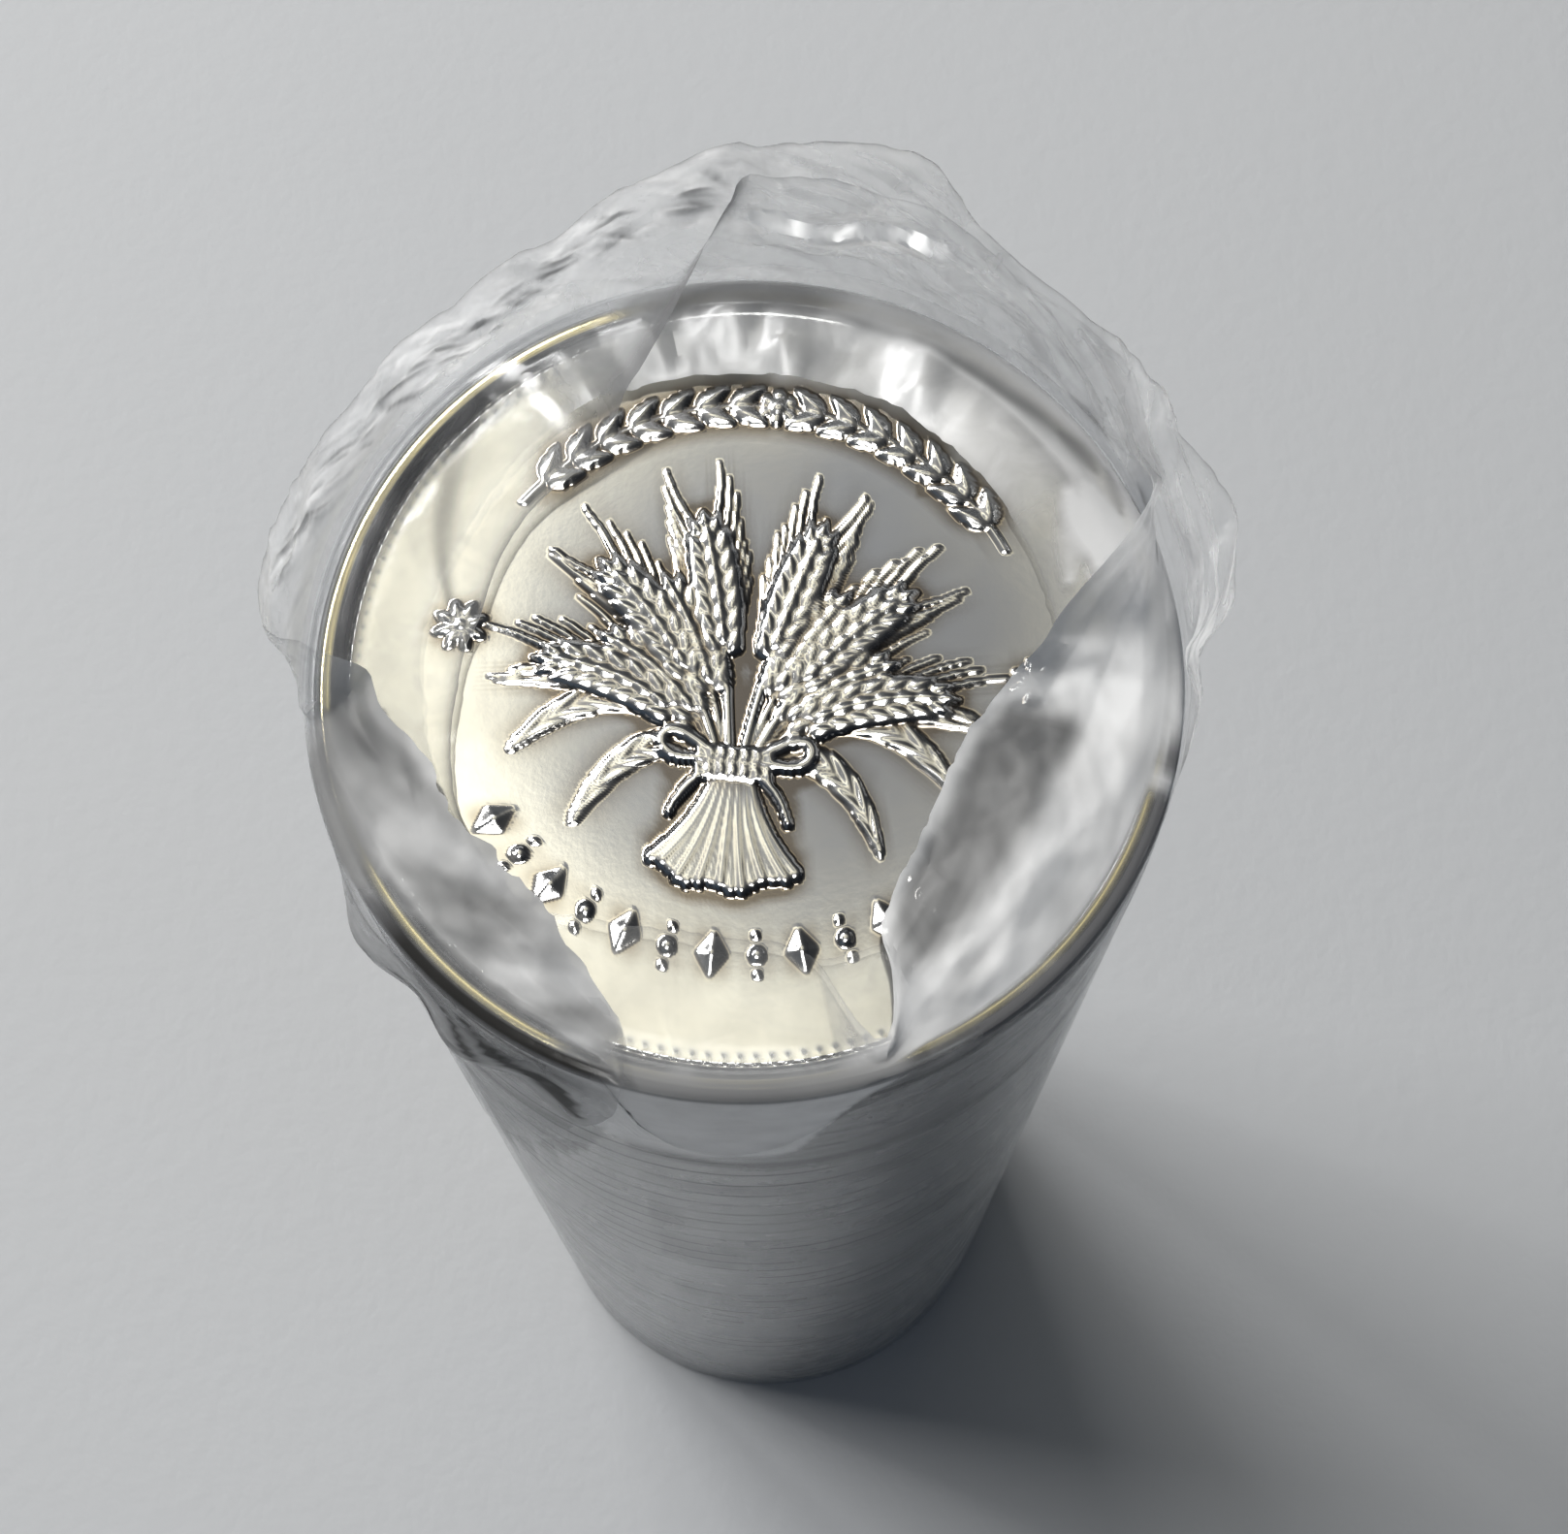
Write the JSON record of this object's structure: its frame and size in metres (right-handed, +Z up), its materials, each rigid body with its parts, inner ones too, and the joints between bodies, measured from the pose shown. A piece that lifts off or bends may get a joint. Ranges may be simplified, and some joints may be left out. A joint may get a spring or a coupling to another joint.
{
  "type": "coin roll",
  "caption": "Roll of small silver-coloured coins standing on end in a clear plastic film wrap, folded in at both ends, with the cut edge of the film standing up as a loose collar round the back",
  "frame": {"origin": "centre of the lower end, on the surface that the roll stands on", "axes": "+Z up along the roll's axis; -Y towards the side where the film is folded in tight, +Y towards the standing collar; +X to the right of that view"},
  "size_m": [0.0216, 0.0216, 0.0767],
  "materials": {
    "coin_metal": "bright struck nickel-plated steel, frosted relief on a satin field, light handling marks",
    "film": "thin clear wrapping film, crinkled and hazy where it is folded, frayed at the cut edge"
  },
  "bodies": {
    "wrap": {"wrap_sleeve": "film", "bottom_fold": "film", "top_fold": "film", "top_collar": "film"},
    "coin_01_body": {"coin_01": "coin_metal"},
    "coin_02_body": {"coin_02": "coin_metal"},
    "coin_03_body": {"coin_03": "coin_metal"},
    "coin_04_body": {"coin_04": "coin_metal"},
    "coin_05_body": {"coin_05": "coin_metal"},
    "coin_06_body": {"coin_06": "coin_metal"},
    "coin_07_body": {"coin_07": "coin_metal"},
    "coin_08_body": {"coin_08": "coin_metal"},
    "coin_09_body": {"coin_09": "coin_metal"},
    "coin_10_body": {"coin_10": "coin_metal"},
    "coin_11_body": {"coin_11": "coin_metal"},
    "coin_12_body": {"coin_12": "coin_metal"},
    "coin_13_body": {"coin_13": "coin_metal"},
    "coin_14_body": {"coin_14": "coin_metal"},
    "coin_15_body": {"coin_15": "coin_metal"},
    "coin_16_body": {"coin_16": "coin_metal"},
    "coin_17_body": {"coin_17": "coin_metal"},
    "coin_18_body": {"coin_18": "coin_metal"},
    "coin_19_body": {"coin_19": "coin_metal"},
    "coin_20_body": {"coin_20": "coin_metal"},
    "coin_21_body": {"coin_21": "coin_metal"},
    "coin_22_body": {"coin_22": "coin_metal"},
    "coin_23_body": {"coin_23": "coin_metal"},
    "coin_24_body": {"coin_24": "coin_metal"},
    "coin_25_body": {"coin_25": "coin_metal"},
    "coin_26_body": {"coin_26": "coin_metal"},
    "coin_27_body": {"coin_27": "coin_metal"},
    "coin_28_body": {"coin_28": "coin_metal"},
    "coin_29_body": {"coin_29": "coin_metal"},
    "coin_30_body": {"coin_30": "coin_metal"},
    "coin_31_body": {"coin_31": "coin_metal"},
    "coin_32_body": {"coin_32": "coin_metal"},
    "coin_33_body": {"coin_33": "coin_metal"},
    "coin_34_body": {"coin_34": "coin_metal"},
    "coin_35_body": {"coin_35": "coin_metal"},
    "coin_36_body": {"coin_36": "coin_metal"},
    "coin_37_body": {"coin_37": "coin_metal"},
    "coin_38_body": {"coin_38": "coin_metal"},
    "coin_39_body": {"coin_39": "coin_metal"},
    "coin_40_body": {"coin_40": "coin_metal"}
  },
  "joints": [
    {"name": "coin_40_spin", "type": "hinge", "parent": "wrap", "child": "coin_40_body", "pos_m": [0, 0, 0.07011], "axis": [0, 0, 1], "continuous": true},
    {"name": "coin_39_spin", "type": "hinge", "parent": "wrap", "child": "coin_39_body", "pos_m": [0, 0, 0.06834], "axis": [0, 0, 1], "continuous": true},
    {"name": "coin_38_spin", "type": "hinge", "parent": "wrap", "child": "coin_38_body", "pos_m": [0, 0, 0.06657], "axis": [0, 0, 1], "continuous": true},
    {"name": "coin_37_spin", "type": "hinge", "parent": "wrap", "child": "coin_37_body", "pos_m": [0, 0, 0.0648], "axis": [0, 0, 1], "continuous": true},
    {"name": "coin_36_spin", "type": "hinge", "parent": "wrap", "child": "coin_36_body", "pos_m": [0, 0, 0.06303], "axis": [0, 0, 1], "continuous": true},
    {"name": "coin_35_spin", "type": "hinge", "parent": "wrap", "child": "coin_35_body", "pos_m": [0, 0, 0.06126], "axis": [0, 0, 1], "continuous": true},
    {"name": "coin_34_spin", "type": "hinge", "parent": "wrap", "child": "coin_34_body", "pos_m": [0, 0, 0.05949], "axis": [0, 0, 1], "continuous": true},
    {"name": "coin_33_spin", "type": "hinge", "parent": "wrap", "child": "coin_33_body", "pos_m": [0, 0, 0.05772], "axis": [0, 0, 1], "continuous": true},
    {"name": "coin_32_spin", "type": "hinge", "parent": "wrap", "child": "coin_32_body", "pos_m": [0, 0, 0.05595], "axis": [0, 0, 1], "continuous": true},
    {"name": "coin_31_spin", "type": "hinge", "parent": "wrap", "child": "coin_31_body", "pos_m": [0, 0, 0.05418], "axis": [0, 0, 1], "continuous": true},
    {"name": "coin_30_spin", "type": "hinge", "parent": "wrap", "child": "coin_30_body", "pos_m": [0, 0, 0.05241], "axis": [0, 0, 1], "continuous": true},
    {"name": "coin_29_spin", "type": "hinge", "parent": "wrap", "child": "coin_29_body", "pos_m": [0, 0, 0.05064], "axis": [0, 0, 1], "continuous": true},
    {"name": "coin_28_spin", "type": "hinge", "parent": "wrap", "child": "coin_28_body", "pos_m": [0, 0, 0.04887], "axis": [0, 0, 1], "continuous": true},
    {"name": "coin_27_spin", "type": "hinge", "parent": "wrap", "child": "coin_27_body", "pos_m": [0, 0, 0.0471], "axis": [0, 0, 1], "continuous": true},
    {"name": "coin_26_spin", "type": "hinge", "parent": "wrap", "child": "coin_26_body", "pos_m": [0, 0, 0.04533], "axis": [0, 0, 1], "continuous": true},
    {"name": "coin_25_spin", "type": "hinge", "parent": "wrap", "child": "coin_25_body", "pos_m": [0, 0, 0.04356], "axis": [0, 0, 1], "continuous": true},
    {"name": "coin_24_spin", "type": "hinge", "parent": "wrap", "child": "coin_24_body", "pos_m": [0, 0, 0.04179], "axis": [0, 0, 1], "continuous": true},
    {"name": "coin_23_spin", "type": "hinge", "parent": "wrap", "child": "coin_23_body", "pos_m": [0, 0, 0.04002], "axis": [0, 0, 1], "continuous": true},
    {"name": "coin_22_spin", "type": "hinge", "parent": "wrap", "child": "coin_22_body", "pos_m": [0, 0, 0.03825], "axis": [0, 0, 1], "continuous": true},
    {"name": "coin_21_spin", "type": "hinge", "parent": "wrap", "child": "coin_21_body", "pos_m": [0, 0, 0.03648], "axis": [0, 0, 1], "continuous": true},
    {"name": "coin_20_spin", "type": "hinge", "parent": "wrap", "child": "coin_20_body", "pos_m": [0, 0, 0.03471], "axis": [0, 0, 1], "continuous": true},
    {"name": "coin_19_spin", "type": "hinge", "parent": "wrap", "child": "coin_19_body", "pos_m": [0, 0, 0.03294], "axis": [0, 0, 1], "continuous": true},
    {"name": "coin_18_spin", "type": "hinge", "parent": "wrap", "child": "coin_18_body", "pos_m": [0, 0, 0.03117], "axis": [0, 0, 1], "continuous": true},
    {"name": "coin_17_spin", "type": "hinge", "parent": "wrap", "child": "coin_17_body", "pos_m": [0, 0, 0.0294], "axis": [0, 0, 1], "continuous": true},
    {"name": "coin_16_spin", "type": "hinge", "parent": "wrap", "child": "coin_16_body", "pos_m": [0, 0, 0.02763], "axis": [0, 0, 1], "continuous": true},
    {"name": "coin_15_spin", "type": "hinge", "parent": "wrap", "child": "coin_15_body", "pos_m": [0, 0, 0.02586], "axis": [0, 0, 1], "continuous": true},
    {"name": "coin_14_spin", "type": "hinge", "parent": "wrap", "child": "coin_14_body", "pos_m": [0, 0, 0.02409], "axis": [0, 0, 1], "continuous": true},
    {"name": "coin_13_spin", "type": "hinge", "parent": "wrap", "child": "coin_13_body", "pos_m": [0, 0, 0.02232], "axis": [0, 0, 1], "continuous": true},
    {"name": "coin_12_spin", "type": "hinge", "parent": "wrap", "child": "coin_12_body", "pos_m": [0, 0, 0.02055], "axis": [0, 0, 1], "continuous": true},
    {"name": "coin_11_spin", "type": "hinge", "parent": "wrap", "child": "coin_11_body", "pos_m": [0, 0, 0.01878], "axis": [0, 0, 1], "continuous": true},
    {"name": "coin_10_spin", "type": "hinge", "parent": "wrap", "child": "coin_10_body", "pos_m": [0, 0, 0.01701], "axis": [0, 0, 1], "continuous": true},
    {"name": "coin_09_spin", "type": "hinge", "parent": "wrap", "child": "coin_09_body", "pos_m": [0, 0, 0.01524], "axis": [0, 0, 1], "continuous": true},
    {"name": "coin_08_spin", "type": "hinge", "parent": "wrap", "child": "coin_08_body", "pos_m": [0, 0, 0.01347], "axis": [0, 0, 1], "continuous": true},
    {"name": "coin_07_spin", "type": "hinge", "parent": "wrap", "child": "coin_07_body", "pos_m": [0, 0, 0.0117], "axis": [0, 0, 1], "continuous": true},
    {"name": "coin_06_spin", "type": "hinge", "parent": "wrap", "child": "coin_06_body", "pos_m": [0, 0, 0.00993], "axis": [0, 0, 1], "continuous": true},
    {"name": "coin_05_spin", "type": "hinge", "parent": "wrap", "child": "coin_05_body", "pos_m": [0, 0, 0.00816], "axis": [0, 0, 1], "continuous": true},
    {"name": "coin_04_spin", "type": "hinge", "parent": "wrap", "child": "coin_04_body", "pos_m": [0, 0, 0.00639], "axis": [0, 0, 1], "continuous": true},
    {"name": "coin_03_spin", "type": "hinge", "parent": "wrap", "child": "coin_03_body", "pos_m": [0, 0, 0.00462], "axis": [0, 0, 1], "continuous": true},
    {"name": "coin_02_spin", "type": "hinge", "parent": "wrap", "child": "coin_02_body", "pos_m": [0, 0, 0.00285], "axis": [0, 0, 1], "continuous": true},
    {"name": "coin_01_spin", "type": "hinge", "parent": "wrap", "child": "coin_01_body", "pos_m": [0, 0, 0.00108], "axis": [0, 0, 1], "continuous": true}
  ]
}
